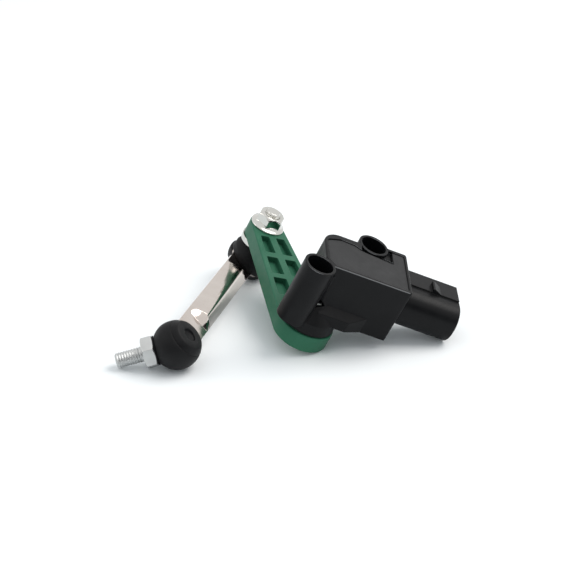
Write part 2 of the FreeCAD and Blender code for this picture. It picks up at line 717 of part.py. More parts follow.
def boot(skirt_deg):
    """Rubber boot: a skirt round the socket, drawn in to a lip on the stud."""
    r0, r1 = SKIRT_R0, SKIRT_R1
    inner_top = math.degrees(math.asin((NECK_R + 0.15) / r0))
    inside = arc_points(r0, inner_top, skirt_deg, 14)
    outside = arc_points(r1, skirt_deg, 50, 8)
    lip_low = LIP_AT + 0.1
    profile = inside + outside + [
        (LIP_R - 0.7, lip_low),
        (LIP_R, lip_low + 0.1),
        (LIP_R, LIP_AT + LIP_T),
        (LIP_R - 0.4, LIP_AT + LIP_T + 0.1),
        (NECK_R + 0.15, LIP_AT + LIP_T + 0.1),
    ]
    return revolve(profile)


# Link

def ridge(share):
    """Height of the pressed ridge at a share of its flank, 1 at the crest."""
    k = RIDGE_R
    s = abs(share)
    if s < k:
        return 1 - s * s / (2 * k * (1 - k / 2))
    return (1 - s) / (1 - k / 2)


def ridge_wire(x, height):
    n = 12
    top, low = [], []
    for i in range(-n, n + 1):
        share = i / n
        y = share * (LINK_RIGHT if share > 0 else LINK_LEFT)
        z = height * ridge(share)
        top.append(vec(x, y, z + SHEET / 2))
        low.append(vec(x, y, z - SHEET / 2))
    upper, lower = Part.BSplineCurve(), Part.BSplineCurve()
    upper.interpolate(top)
    lower.interpolate(low)
    return Part.Wire([
        upper.toShape(),
        Part.LineSegment(top[-1], low[-1]).toShape(),
        lower.toShape(),
        Part.LineSegment(low[0], top[0]).toShape(),
    ])


def waist(r, half, z):
    """Points where the eye leaves its circle, bends, and meets the edge of the strip."""
    narrow = min(half, r - 0.1)
    dy = narrow + PAD_BLEND
    far = r + PAD_BLEND
    reach = math.sqrt(far * far - dy * dy)
    turn = (math.atan2(-dy, -reach) - math.pi / 2) / 2
    eye = vec(r * reach / far, r * dy / far, z)
    bend = vec(reach + PAD_BLEND * math.cos(turn), dy + PAD_BLEND * math.sin(turn), z)
    return eye, bend, vec(reach, narrow, z), vec(CREASE, half, z)


def pad(r, hole_r, left, right, grow=0.0):
    """Flat end of the link: a round eye that runs into the strip."""
    z = -SHEET / 2 - grow
    eye, bend, neck, end = waist(r + grow, right + grow, z)
    eye2, bend2, neck2, end2 = (vec(p.x, -p.y, p.z) for p in waist(r + grow, left + grow, z))
    edges = [
        Part.Arc(eye2, vec(-r - grow, 0, z), eye).toShape(),
        Part.Arc(eye, bend, neck).toShape(),
        Part.LineSegment(neck, end).toShape(),
        Part.LineSegment(end, end2).toShape(),
        Part.LineSegment(end2, neck2).toShape(),
        Part.Arc(neck2, bend2, eye2).toShape(),
    ]
    plate = Part.Face(Part.Wire(edges)).extrude(vec(0, 0, SHEET + 2 * grow))
    return plate.cut(cyl(hole_r - grow, -SHEET - 1, SHEET + 1))


def link_rod():
    flat, full = 0.0, RIDGE_H
    far = LINK_SPAN
    near_ramp = Part.makeLoft([ridge_wire(CREASE, flat), ridge_wire(CREASE + RAMP, full)], True, True)
    trunk = Part.makeLoft([ridge_wire(CREASE + RAMP, full), ridge_wire(far - CREASE - RAMP, full)], True, True)
    far_ramp = Part.makeLoft([ridge_wire(far - CREASE - RAMP, full), ridge_wire(far - CREASE, flat)], True, True)
    near_pad = pad(UPPER_PAD_R, UPPER_PAD_HOLE_R, LINK_LEFT, LINK_RIGHT)
    far_pad = pad(LOWER_PAD_R, LOWER_PAD_HOLE_R, LINK_RIGHT, LINK_LEFT)
    far_pad.rotate(vec(0, 0), vec(0, 0, 1), 180)
    far_pad.translate(vec(far, 0, 0))
    return placed(fuse(near_pad, near_ramp, trunk, far_ramp, far_pad), LINK_FRAME)


PIECES = {
    "housing": housing,
    "cover": cover,
    "shaft_bush": shaft_bush,
    "shaft_seal": shaft_seal,
    "circuit_board": circuit_board,
    "hall_sensor": hall_sensor,
    "terminal_pins": terminal_pins,
    "lever": lever,
    "shaft": shaft,
    "retaining_clip": retaining_clip,
    "rotor": rotor,
    "magnet": magnet,
    "flange_nut": flange_nut,
    "upper_ball_stud": upper_ball_stud,
    "upper_boot": lambda: placed(boot(UPPER_SKIRT_DEG), UPPER_STUD_FRAME),
    "link_rod": link_rod,
    "upper_socket": upper_socket,
    "upper_ball_seat": lambda: placed(ball_seat(), UPPER_SOCKET_FRAME),
    "lower_socket": lower_socket,
    "lower_ball_seat": lambda: placed(ball_seat(), LOWER_SOCKET_FRAME),
    "lower_boot": lambda: placed(boot(LOWER_SKIRT_DEG), STUD_FRAME),
    "lower_ball_stud": lower_ball_stud,
}


def main():
    os.makedirs("parts", exist_ok=True)
    for name, make in PIECES.items():
        shape = make()
        shape.translate(HOLES_MIDDLE * -1)
        shape.exportStep("parts/" + name + ".step")
        print(name, len(shape.Solids), shape.isValid(), round(shape.Volume, 1))


main()
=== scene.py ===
# %% [markdown]
# # A ride height sensor, dressed for its picture
# The CAD model gives every piece its true size and place. This lesson adds what the CAD model leaves out:
# the soft rubber boots, the rolled threads, and a finish for each material. It starts with the frame, the
# set of CAD nodes and bodies that nothing here may move.

# %% Load the frame
import json
import math
import bpy
from mathutils import Matrix, Vector


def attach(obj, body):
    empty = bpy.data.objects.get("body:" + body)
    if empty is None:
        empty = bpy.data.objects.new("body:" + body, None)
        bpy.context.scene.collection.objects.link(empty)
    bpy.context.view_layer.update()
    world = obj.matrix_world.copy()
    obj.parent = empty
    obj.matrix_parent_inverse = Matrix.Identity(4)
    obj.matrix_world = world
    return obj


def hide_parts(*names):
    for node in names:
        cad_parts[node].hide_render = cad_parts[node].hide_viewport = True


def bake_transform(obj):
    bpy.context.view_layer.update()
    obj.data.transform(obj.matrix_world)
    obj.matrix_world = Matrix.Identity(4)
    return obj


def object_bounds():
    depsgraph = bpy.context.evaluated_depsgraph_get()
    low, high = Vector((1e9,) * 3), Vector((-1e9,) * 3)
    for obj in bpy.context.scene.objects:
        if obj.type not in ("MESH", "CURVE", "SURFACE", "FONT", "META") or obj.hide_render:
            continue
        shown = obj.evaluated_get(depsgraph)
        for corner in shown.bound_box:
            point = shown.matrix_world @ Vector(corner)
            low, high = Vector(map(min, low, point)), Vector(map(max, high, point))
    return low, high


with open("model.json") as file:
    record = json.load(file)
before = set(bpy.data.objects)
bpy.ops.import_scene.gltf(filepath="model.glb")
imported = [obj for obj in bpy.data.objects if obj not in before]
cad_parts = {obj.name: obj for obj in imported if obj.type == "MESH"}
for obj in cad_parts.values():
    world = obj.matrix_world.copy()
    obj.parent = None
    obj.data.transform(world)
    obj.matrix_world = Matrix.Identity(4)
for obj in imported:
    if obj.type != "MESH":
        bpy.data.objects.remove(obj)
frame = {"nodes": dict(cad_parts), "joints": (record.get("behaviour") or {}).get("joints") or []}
cad_box = [list(corner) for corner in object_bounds()]
MM = 0.001
nodes = frame["nodes"]
joints = {j["name"]: j for j in frame["joints"]}
print("nodes", len(nodes), "box", [[round(v, 4) for v in corner] for corner in cad_box])

# %% [markdown]
# ## Camera
# The photograph was taken from above the connector's near side with a long lens. A long lens keeps parallel
# edges nearly parallel, which suits a small technical object. The camera's three axes are written as
# vectors, because that says more about the view than three rotation angles would.

# %% Camera
FOCAL_PIXELS, PICTURE_PIXELS = 1556.85, 576
CAMERA_PLACE = Vector((-0.1743, -0.4877, 0.2891))
lens = bpy.data.cameras.new("long_lens")
lens.sensor_width = 36.0
lens.lens = FOCAL_PIXELS / PICTURE_PIXELS * lens.sensor_width
lens.clip_start, lens.clip_end = 0.05, 20.0
camera = bpy.data.objects.new("camera", lens)
bpy.context.scene.collection.objects.link(camera)
bpy.context.scene.camera = camera
to_right = Vector((0.910, -0.033, 0.414)).normalized()
to_viewer = Vector((-0.266, -0.812, 0.520))
to_viewer = (to_viewer - to_right * to_viewer.dot(to_right)).normalized()
to_top = to_viewer.cross(to_right)
turned = Matrix((to_right, to_top, to_viewer)).transposed().to_4x4()
camera.matrix_world = Matrix.Translation(CAMERA_PLACE) @ turned
print("lens", round(lens.lens, 1), "mm")

# %% [markdown]
# ## Floor and light
# The sensor lies on a pale table on its lever hub, the end of its connector and the upper ball joint, so in
# the CAD frame the table is a tilted plane. A square of white card would also do, but a plane with its own
# material can stay hidden from below, so that views from under the table still show the part.
# One large soft lamp hangs over the table, and a dark card behind the camera gives the shiny pieces
# something to reflect, as a photographer's black flag does.

# %% Table, lamps and world
table_up = Vector((-0.3708, 0.1624, 0.9144)).normalized()


def lowest(direction):
    """Distance of the object's lowest point along a direction."""
    reach = []
    for node in nodes.values():
        world = node.matrix_world
        reach.append(min((world @ v.co).dot(direction) for v in node.data.vertices))
    return min(reach)


def facing(direction, up_hint):
    """Rotation whose Z is the direction."""
    z = direction.normalized()
    x = up_hint.cross(z).normalized()
    return Matrix((x, z.cross(x), z)).transposed().to_4x4()


def flat_square(name, half_x, half_y, material):
    mesh = bpy.data.meshes.new(name)
    corners = [(-half_x, -half_y, 0), (half_x, -half_y, 0), (half_x, half_y, 0), (-half_x, half_y, 0)]
    mesh.from_pydata(corners, [], [(0, 1, 2, 3)])
    mesh.materials.append(material)
    made = bpy.data.objects.new(name, mesh)
    bpy.context.scene.collection.objects.link(made)
    return made


def new_material(name):
    material = bpy.data.materials.new(name)
    material.use_nodes = True
    material.node_tree.nodes.clear()
    return material, material.node_tree


table_material, tree = new_material("table_white")
out = tree.nodes.new("ShaderNodeOutputMaterial")
white = tree.nodes.new("ShaderNodeBsdfDiffuse")
white.inputs["Color"].default_value = (0.95, 0.955, 0.96, 1)
gone = tree.nodes.new("ShaderNodeBsdfTransparent")
choose = tree.nodes.new("ShaderNodeMixShader")
side = tree.nodes.new("ShaderNodeNewGeometry")
tree.links.new(side.outputs["Backfacing"], choose.inputs["Fac"])
tree.links.new(white.outputs[0], choose.inputs[1])
tree.links.new(gone.outputs[0], choose.inputs[2])
tree.links.new(choose.outputs[0], out.inputs["Surface"])

floor_level = lowest(table_up)
floor = flat_square("table_top", 3.0, 3.0, table_material)
middle = (Vector(cad_box[0]) + Vector(cad_box[1])) / 2
foot = middle - table_up * (middle.dot(table_up) - floor_level + 0.00002)
floor.matrix_world = Matrix.Translation(foot) @ facing(table_up, to_viewer)

card_material, tree = new_material("card_black")
out = tree.nodes.new("ShaderNodeOutputMaterial")
black = tree.nodes.new("ShaderNodeBsdfDiffuse")
black.inputs["Color"].default_value = (0.012, 0.012, 0.012, 1)
tree.links.new(black.outputs[0], out.inputs["Surface"])
ahead = (to_viewer - table_up * to_viewer.dot(table_up)).normalized()
across = table_up.cross(ahead)
card = flat_square("black_card", 0.9, 0.26, card_material)
card_place = foot + ahead * 0.75 + table_up * 0.24
card.matrix_world = Matrix.Translation(card_place) @ facing(-ahead, table_up)
card.visible_camera = False
card.visible_diffuse = False
card.visible_shadow = False


def soft_lamp(name, place, watts, size):
    data = bpy.data.lights.new(name, "AREA")
    data.shape = "DISK"
    data.size = size
    data.energy = watts
    data.color = (1.0, 0.975, 0.945)
    lamp = bpy.data.objects.new(name, data)
    bpy.context.scene.collection.objects.link(lamp)
    spot = foot + ahead * place[0] + across * place[1] + table_up * place[2]
    lamp.matrix_world = Matrix.Translation(spot) @ facing(spot - foot, across)
    return lamp


soft_lamp("overhead_lamp", (-0.14, 0.56, 0.85), 6.7, 0.8)
soft_lamp("side_lamp", (0.10, -0.9, 0.55), 1.3, 0.6)

world = bpy.data.worlds.new("studio")
bpy.context.scene.world = world
world.use_nodes = True
tree = world.node_tree
tree.nodes.clear()
out = tree.nodes.new("ShaderNodeOutputWorld")
room = tree.nodes.new("ShaderNodeBackground")
room.inputs["Color"].default_value = (0.90, 0.965, 1.0, 1)
room.inputs["Strength"].default_value = 0.76
shown = tree.nodes.new("ShaderNodeBackground")
shown.inputs["Color"].default_value = (1, 1, 1, 1)
shown.inputs["Strength"].default_value = 1.0
path = tree.nodes.new("ShaderNodeLightPath")
either = tree.nodes.new("ShaderNodeMath")
either.operation = "MAXIMUM"
any_of = tree.nodes.new("ShaderNodeMath")
any_of.operation = "MAXIMUM"
choose = tree.nodes.new("ShaderNodeMixShader")
tree.links.new(path.outputs["Is Camera Ray"], either.inputs[0])
tree.links.new(path.outputs["Is Glossy Ray"], either.inputs[1])
tree.links.new(either.outputs[0], any_of.inputs[0])
tree.links.new(path.outputs["Is Transmission Ray"], any_of.inputs[1])
tree.links.new(any_of.outputs[0], choose.inputs["Fac"])
tree.links.new(room.outputs[0], choose.inputs[1])
tree.links.new(shown.outputs[0], choose.inputs[2])
tree.links.new(choose.outputs[0], out.inputs["Surface"])
bpy.context.scene.view_settings.view_transform = "Standard"
print("table level", round(floor_level * 1000, 3), "mm along", [round(v, 3) for v in table_up])

# %% [markdown]
# ## Shared surface effects
# Real mouldings and plated parts are never one flat tone. Three effects serve all the finishes here, each as
# a node group with its own inputs: a fine grain for bump, a slow cloudiness for roughness, and a soft
# edge that rounds the sharp corners of the CAD solids the way a mould does. The soft edge also gives a mask
# for the housing's rim where it faces one fixed direction, near the cover's plane: a painted highlight that
# makes the rim lighter by its colour, not by any lamp. Painting an image would tie the finish to one
# unwrapping; procedural noise in object space needs none.

# %% Node groups: grain, cloudiness, soft edges and a painted rim highlight


def new_group(name, inputs, outputs):
    group = bpy.data.node_groups.new(name, "ShaderNodeTree")
    for label, kind, value in inputs:
        socket = group.interface.new_socket(label, in_out="INPUT", socket_type=kind)
        if value is not None:
            socket.default_value = value
    for label, kind in outputs:
        group.interface.new_socket(label, in_out="OUTPUT", socket_type=kind)
    inward = group.nodes.new("NodeGroupInput")
    outward = group.nodes.new("NodeGroupOutput")
    return group, inward, outward


def noise_in(group, scale_from, detail, roughness):
    place = group.nodes.new("ShaderNodeTexCoord")
    noise = group.nodes.new("ShaderNodeTexNoise")
    noise.inputs["Detail"].default_value = detail
    noise.inputs["Roughness"].default_value = roughness
    group.links.new(place.outputs["Object"], noise.inputs["Vector"])
    group.links.new(scale_from, noise.inputs["Scale"])
    return noise


number = "NodeSocketFloat"
grain_group, inward, outward = new_group("fine_grain", [("Scale", number, 4000.0)], [("Height", number)])
noise = noise_in(grain_group, inward.outputs["Scale"], 3.0, 0.6)
grain_group.links.new(noise.outputs["Fac"], outward.inputs["Height"])

cloud_group, inward, outward = new_group(
    "cloudiness",
    [("Scale", number, 120.0), ("Low", number, 0.4), ("High", number, 0.5)],
    [("Value", number)],
)
noise = noise_in(cloud_group, inward.outputs["Scale"], 4.0, 0.55)
spread = cloud_group.nodes.new("ShaderNodeMapRange")
spread.inputs["From Min"].default_value = 0.3
spread.inputs["From Max"].default_value = 0.7
cloud_group.links.new(noise.outputs["Fac"], spread.inputs["Value"])
cloud_group.links.new(inward.outputs["Low"], spread.inputs["To Min"])
cloud_group.links.new(inward.outputs["High"], spread.inputs["To Max"])
cloud_group.links.new(spread.outputs["Result"], outward.inputs["Value"])

# The group's Normal output rounds corners; its second output is the mask for a painted highlight on the rim.
edge_and_highlight_group, inward, outward = new_group(
    "soft_edge_and_rim_highlight",
    [("Radius", number, 0.0003)],
    [("Normal", "NodeSocketVector"), ("PaintedHighlight", number)],
)
bevel = edge_and_highlight_group.nodes.new("ShaderNodeBevel")
bevel.samples = 6
light_direction_dot = edge_and_highlight_group.nodes.new("ShaderNodeVectorMath")
light_direction_dot.operation = "DOT_PRODUCT"
# A fixed direction stands in for the light: rim surfaces turned towards it get the painted highlight.
light_direction_dot.inputs[1].default_value = (-0.30, -0.75, 0.59)
highlight_facing = edge_and_highlight_group.nodes.new("ShaderNodeMapRange")
highlight_facing.inputs["From Min"].default_value = 0.86
highlight_facing.inputs["From Max"].default_value = 0.96
place = edge_and_highlight_group.nodes.new("ShaderNodeTexCoord")
parts = edge_and_highlight_group.nodes.new("ShaderNodeSeparateXYZ")
# The painted highlight fades in between 2.2 and 1.2 mm below the part's zero height, so it stays on the top
# rim.
painted_rim = edge_and_highlight_group.nodes.new("ShaderNodeMapRange")
painted_rim.inputs["From Min"].default_value = -0.0022
painted_rim.inputs["From Max"].default_value = -0.0012
painted_highlight_mask = edge_and_highlight_group.nodes.new("ShaderNodeMath")
painted_highlight_mask.operation = "MULTIPLY"
edge_and_highlight_group.links.new(place.outputs["Object"], parts.inputs[0])
edge_and_highlight_group.links.new(parts.outputs["Z"], painted_rim.inputs["Value"])
edge_and_highlight_group.links.new(highlight_facing.outputs["Result"], painted_highlight_mask.inputs[0])
edge_and_highlight_group.links.new(painted_rim.outputs["Result"], painted_highlight_mask.inputs[1])
edge_and_highlight_group.links.new(inward.outputs["Radius"], bevel.inputs["Radius"])
edge_and_highlight_group.links.new(bevel.outputs["Normal"], light_direction_dot.inputs[0])
edge_and_highlight_group.links.new(light_direction_dot.outputs["Value"], highlight_facing.inputs["Value"])
edge_and_highlight_group.links.new(bevel.outputs["Normal"], outward.inputs["Normal"])
edge_and_highlight_group.links.new(painted_highlight_mask.outputs[0], outward.inputs["PaintedHighlight"])
print("groups", [g.name for g in bpy.data.node_groups])

# %% [markdown]
# ## Finishes
# Every finish here is one Principled shader with the same few parts: a base colour that clouds a little
# towards a second colour, a roughness that wanders between two values, a grain, soft edges, and, where a
# highlight colour is given, a painted highlight on the rim. A helper that lays those nodes is clearer than
# eighteen hand-wired trees, and each finish is then one line of numbers.

# %% The finish helper


def use_group(tree, group, **values):
    placed = tree.nodes.new("ShaderNodeGroup")
    placed.node_tree = group
    for label, value in values.items():
        placed.inputs[label].default_value = value
    return placed


def finish(name, colour, second, rough, metal=0.0, grain=(4000.0, 0.02), soft=0.0003, level=0.5, rim_highlight_colour=None):
    material, tree = new_material(name)
    out = tree.nodes.new("ShaderNodeOutputMaterial")
    shader = tree.nodes.new("ShaderNodeBsdfPrincipled")
    shader.inputs["Metallic"].default_value = metal
    shader.inputs["Specular IOR Level"].default_value = level
    tree.links.new(shader.outputs[0], out.inputs["Surface"])
    tone = use_group(tree, cloud_group, Scale=90.0, Low=0.0, High=1.0)
    mix = tree.nodes.new("ShaderNodeMix")
    mix.data_type = "RGBA"
    mix.inputs["A"].default_value = (*colour, 1)
    mix.inputs["B"].default_value = (*second, 1)
    tree.links.new(tone.outputs["Value"], mix.inputs["Factor"])
    colour_out = mix.outputs["Result"]
    softened = use_group(tree, edge_and_highlight_group, Radius=soft)
    # A given colour is painted in where the soft edge's highlight mask is on: a painted highlight, not from
    # any lamp.
    if rim_highlight_colour:
        painted_rim = tree.nodes.new("ShaderNodeMix")
        painted_rim.data_type = "RGBA"
        painted_rim.inputs["B"].default_value = (*rim_highlight_colour, 1)
        tree.links.new(softened.outputs["PaintedHighlight"], painted_rim.inputs["Factor"])
        tree.links.new(colour_out, painted_rim.inputs["A"])
        colour_out = painted_rim.outputs["Result"]
    tree.links.new(colour_out, shader.inputs["Base Color"])
    wander = use_group(tree, cloud_group, Scale=260.0, Low=rough[0], High=rough[1])
    tree.links.new(wander.outputs["Value"], shader.inputs["Roughness"])
    fine = use_group(tree, grain_group, Scale=grain[0])
    bump = tree.nodes.new("ShaderNodeBump")
    bump.inputs["Strength"].default_value = grain[1]
    bump.inputs["Distance"].default_value = 0.0002
    tree.links.new(fine.outputs["Height"], bump.inputs["Height"])
    tree.links.new(softened.outputs["Normal"], bump.inputs["Normal"])
    tree.links.new(bump.outputs["Normal"], shader.inputs["Normal"])
    return material


# %% [markdown]
# ## Which finish goes where
# The housing is black glass-filled nylon with a faint sheen, its cover a greyer resin. The lever is a green
# nylon. Nut, collar and studs are zinc plated, a cool pale grey, while the pressed link is bright steel
# whose warm tint comes from its passivated coat. Colours are linear values.

# %% Finishes and the nodes that wear them
# The last colour given to the housing, cover and lever is a painted highlight for the rim that faces one
# fixed direction.
black_nylon = finish("black_nylon", (0.0036, 0.0038, 0.0044), (0.0056, 0.0058, 0.0066), (0.30, 0.42),
                     grain=(2600.0, 0.05), soft=0.0005, level=0.14, rim_highlight_colour=(0.2, 0.2, 0.205))
cover_resin = finish("cover_resin", (0.022, 0.022, 0.023), (0.031, 0.031, 0.032), (0.44, 0.56),
                     grain=(1500.0, 0.12), soft=0.0005, level=0.16, rim_highlight_colour=(0.16, 0.16, 0.162))
green_nylon = finish("green_nylon", (0.024, 0.118, 0.067), (0.032, 0.135, 0.078), (0.36, 0.48),
                     grain=(2400.0, 0.04), soft=0.00045, level=0.14, rim_highlight_colour=(0.045, 0.165, 0.1))
socket_nylon = finish("socket_nylon", (0.0055, 0.0055, 0.0062), (0.009, 0.009, 0.0098), (0.42, 0.55),
                      grain=(2200.0, 0.06), soft=0.0005, level=0.14)
boot_rubber = finish("boot_rubber", (0.0055, 0.0055, 0.0062), (0.0095, 0.0095, 0.0102), (0.5, 0.62),
                     grain=(1800.0, 0.08), soft=0.0003, level=0.16)
zinc_plate = finish("zinc_plate", (0.47, 0.48, 0.48), (0.57, 0.58, 0.575), (0.38, 0.5), 1.0,
                    grain=(1700.0, 0.12), soft=0.00025)
bright_zinc = finish("bright_zinc", (0.56, 0.56, 0.53), (0.64, 0.63, 0.6), (0.1, 0.18), 1.0,
                     grain=(1700.0, 0.06), soft=0.00025)
link_steel = finish("link_steel", (0.56, 0.50, 0.46), (0.62, 0.57, 0.53), (0.08, 0.13), 1.0,
                    grain=(700.0, 0.02), soft=0.0003)
ground_steel = finish("ground_steel", (0.55, 0.55, 0.56), (0.62, 0.62, 0.62), (0.2, 0.3), 1.0, soft=0.0001)
clip_steel = finish("clip_steel", (0.2, 0.2, 0.21), (0.3, 0.3, 0.3), (0.3, 0.4), 1.0, soft=0.0001)
bush_bronze = finish("bush_bronze", (0.55, 0.38, 0.18), (0.6, 0.42, 0.22), (0.4, 0.5), 1.0, soft=0.0001)
seal_rubber = finish("seal_rubber", (0.02, 0.02, 0.02), (0.03, 0.03, 0.03), (0.55, 0.65), soft=0.0001)
board_green = finish("board_green", (0.02, 0.16, 0.06), (0.03, 0.19, 0.07), (0.25, 0.35), soft=0.0001)
chip_black = finish("chip_black", (0.015, 0.015, 0.015), (0.02, 0.02, 0.02), (0.4, 0.5), soft=0.0001)
pin_tin = finish("pin_tin", (0.62, 0.62, 0.6), (0.7, 0.7, 0.68), (0.22, 0.3), 1.0, soft=0.0001)
rotor_plastic = finish("rotor_plastic", (0.6, 0.6, 0.57), (0.66, 0.66, 0.62), (0.45, 0.55), soft=0.0001)
magnet_grey = finish("magnet_grey", (0.08, 0.08, 0.085), (0.1, 0.1, 0.1), (0.5, 0.6), 0.6, soft=0.0001)
seat_white = finish("seat_white", (0.72, 0.72, 0.7), (0.78, 0.78, 0.76), (0.35, 0.45), soft=0.0001)

wears = {
    "housing": black_nylon, "cover": cover_resin, "shaft_bush": bush_bronze, "shaft_seal": seal_rubber,
    "circuit_board": board_green, "hall_sensor": chip_black, "terminal_pins": pin_tin,
    "lever": green_nylon, "shaft": ground_steel, "retaining_clip": clip_steel, "rotor": rotor_plastic,
    "magnet": magnet_grey, "flange_nut": bright_zinc, "upper_ball_stud": bright_zinc,
    "upper_boot": boot_rubber, "link_rod": link_steel, "upper_socket": socket_nylon,
    "upper_ball_seat": seat_white, "lower_socket": socket_nylon, "lower_ball_seat": seat_white,
    "lower_boot": boot_rubber, "lower_ball_stud": zinc_plate,
}
for name, material in wears.items():
    mesh = nodes[name].data
    mesh.materials.clear()
    mesh.materials.append(material)
print("finishes", len(set(wears.values())))

# %% [markdown]
# ## Meshes from rings
# Boots, studs and threads are all rings stacked along an axis. A lathe modifier could turn a profile, but a
# thread isn't round and a boot is bent, so one helper joins any list of equal rings into a closed skin and
# the shapes only have to say where each ring's points lie.

# %% The ring helper


def skin(name, rings, close_ends=True, crease=35.0, ring_shut=False):
    """A mesh through rings of equal length; a fan closes the ends, or the last ring joins the first."""
    count = len(rings[0])
    points = [tuple(p) for ring in rings for p in ring]
    faces = []
    for r in range(len(rings) - (0 if ring_shut else 1)):
        up = (r + 1) % len(rings)
        for k in range(count):
            n = (k + 1) % count
            faces.append((r * count + k, r * count + n, up * count + n, up * count + k))
    if close_ends:
        for r, flip in ((0, True), (len(rings) - 1, False)):
            centre = len(points)
            total = Vector((0, 0, 0))
            for p in rings[r]:
                total += Vector(p)
            points.append(tuple(total / count))
            for k in range(count):
                pair = (r * count + k, r * count + (k + 1) % count)
                faces.append((pair[1], pair[0], centre) if flip else (pair[0], pair[1], centre))
    mesh = bpy.data.meshes.new(name)
    mesh.from_pydata(points, [], faces)
    mesh.validate()
    mesh.update()
    mesh.polygons.foreach_set("use_smooth", [True] * len(mesh.polygons))
    mesh.set_sharp_from_angle(angle=math.radians(crease))
    made = bpy.data.objects.new(name, mesh)
    bpy.context.scene.collection.objects.link(made)
    return made


def axis_frame(origin, along, hint):
    """Matrix that carries local Z onto an axis through the origin point."""
    z = Vector(along).normalized()
    x = (Vector(hint) - z * Vector(hint).dot(z)).normalized()
    turned = Matrix((x, z.cross(x), z)).transposed().to_4x4()
    return Matrix.Translation(Vector(origin)) @ turned


# %% [markdown]
# ## Ball joints
# Each joint is a steel ball in a black cup that is clinched round the link's eye, with a rubber boot drawn
# over it. The joints of the frame give the ball centres and the axes. The cup's own axis follows from how
# far the link leans at rest, so nothing here is measured twice.

# %% Where the joints are
UPPER_LEAN, LOWER_LEAN = math.radians(22.4144), math.radians(32.2)
upper_ball = Vector(joints["upper_joint_turn"]["pos_m"])
lower_ball = Vector(joints["lower_joint_turn"]["pos_m"])
upper_stud = Vector(joints["upper_joint_turn"]["axis"]).normalized()
lower_stud = Vector(joints["lower_joint_turn"]["axis"]).normalized()
upper_tilt = Vector(joints["upper_joint_tilt"]["axis"]).normalized()
lower_tilt = Vector(joints["lower_joint_tilt"]["axis"]).normalized()
upper_cup = Matrix.Rotation(UPPER_LEAN, 3, upper_tilt) @ upper_stud
lower_cup = Matrix.Rotation(-LOWER_LEAN, 3, lower_tilt) @ lower_stud
print("ball centres", round((upper_ball - lower_ball).length * 1000, 2), "mm apart")

# %% [markdown]
# ## Rubber boots
# A boot is a thin sleeve: its wide end grips the cup, its narrow end hugs the stud in a lip, and in between
# it bulges round the ball. In the CAD model it is a stiff skirt that slides. Here it is one soft skin whose
# wide end sits on the cup and whose lip sits on the stud; the rings between them lean part of the way from
# the cup's axis to the stud's, turned about the ball.

# %% Boots
BOOT_SIDES = 72


def boot(name, ball, stud_axis, cup_axis, hinge, grip, swell, node):
    """grip is the wide end: (angle from the cup's open side, radius, radius of the smooth part)."""
    cup_frame = axis_frame((0, 0, 0), cup_axis, hinge).to_3x3()
    lean = stud_axis.angle(cup_axis)
    turn_axis = cup_axis.cross(stud_axis).normalized()
    cup_angle, edge_radius, body_radius = grip
    shoulder, last, steps = cup_angle - 7.5, 36.0, 20
    outside = [(cup_angle, edge_radius, 0.0), (cup_angle - 1.5, edge_radius + 0.03, 0.0)]
    for k in range(steps + 1):
        s = k / steps
        weight = s * s * (3 - 2 * s)
        settle = min(1.0, (k + 1) / 5)
        radius = edge_radius + (body_radius - edge_radius) * settle + swell * math.sin(math.pi * s) ** 2
        outside.append((shoulder + (last - shoulder) * s, radius, 0.02 + 0.98 * weight))
    rings = []

    def ring(angle, radius, share):
        """Points on a cone about an axis that leans from the cup's to the stud's."""
        turned = Matrix.Rotation(lean * share, 3, turn_axis) @ cup_frame
        a = math.radians(angle)
        points = []
        for k in range(BOOT_SIDES):
            b = 2 * math.pi * k / BOOT_SIDES
            local = Vector((math.sin(a) * math.cos(b), math.sin(a) * math.sin(b), math.cos(a))) * radius * MM
            points.append(ball + turned @ local)
        return points

    for angle, radius, share in outside:
        rings.append(ring(angle, radius, share))
    lip = ((5.35, 7.5), (5.2, 7.62), (5.2, 7.74), (5.38, 7.84), (5.62, 7.92), (5.72, 8.02), (5.72, 8.14),
           (5.6, 8.26), (5.3, 8.3), (2.12, 8.3), (2.12, 7.5))
    for radius, height in lip:
        rings.append(ring(math.degrees(math.atan2(radius, height)), math.hypot(radius, height), 1.0))
    inner = edge_radius - 0.06
    for angle, radius, share in reversed(outside[3::2]):
        rings.append(ring(angle, max(inner, radius - 0.8), share))
    rings.append(ring(cup_angle - 1.0, inner, 0.0))
    made = skin(name, rings, close_ends=False, crease=50.0, ring_shut=True)
    made.data.materials.append(boot_rubber)
    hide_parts(node)
    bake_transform(made)
    return made


UPPER_GRIP, LOWER_GRIP, SWELL = (95.0, 9.25, 9.85), (121.0, 9.31, 9.34), 0.1
upper_sleeve = boot("upper_boot_sleeve", upper_ball, upper_stud, upper_cup, upper_tilt, UPPER_GRIP, SWELL,
                    "upper_boot")
lower_sleeve = boot("lower_boot_sleeve", lower_ball, lower_stud, lower_cup, lower_tilt, LOWER_GRIP, SWELL,
                    "lower_boot")
print("boot vertices", len(upper_sleeve.data.vertices), len(lower_sleeve.data.vertices))

# %% [markdown]
# ## Studs with rolled threads
# The lower stud is the piece that a fitter bolts to the suspension arm: a ball, a neck, a hexagon to hold
# with a spanner and a rolled M6 thread. A screw modifier would leave loose ends where the thread starts, so
# the thread is a height over a cylinder instead: each point's radius follows from its angle and height,
# and the groove fades out under the chamfer by itself.

# %% Studs
THREAD_R, THREAD_PITCH, THREAD_DEPTH = 3.0, 1.0, 0.3


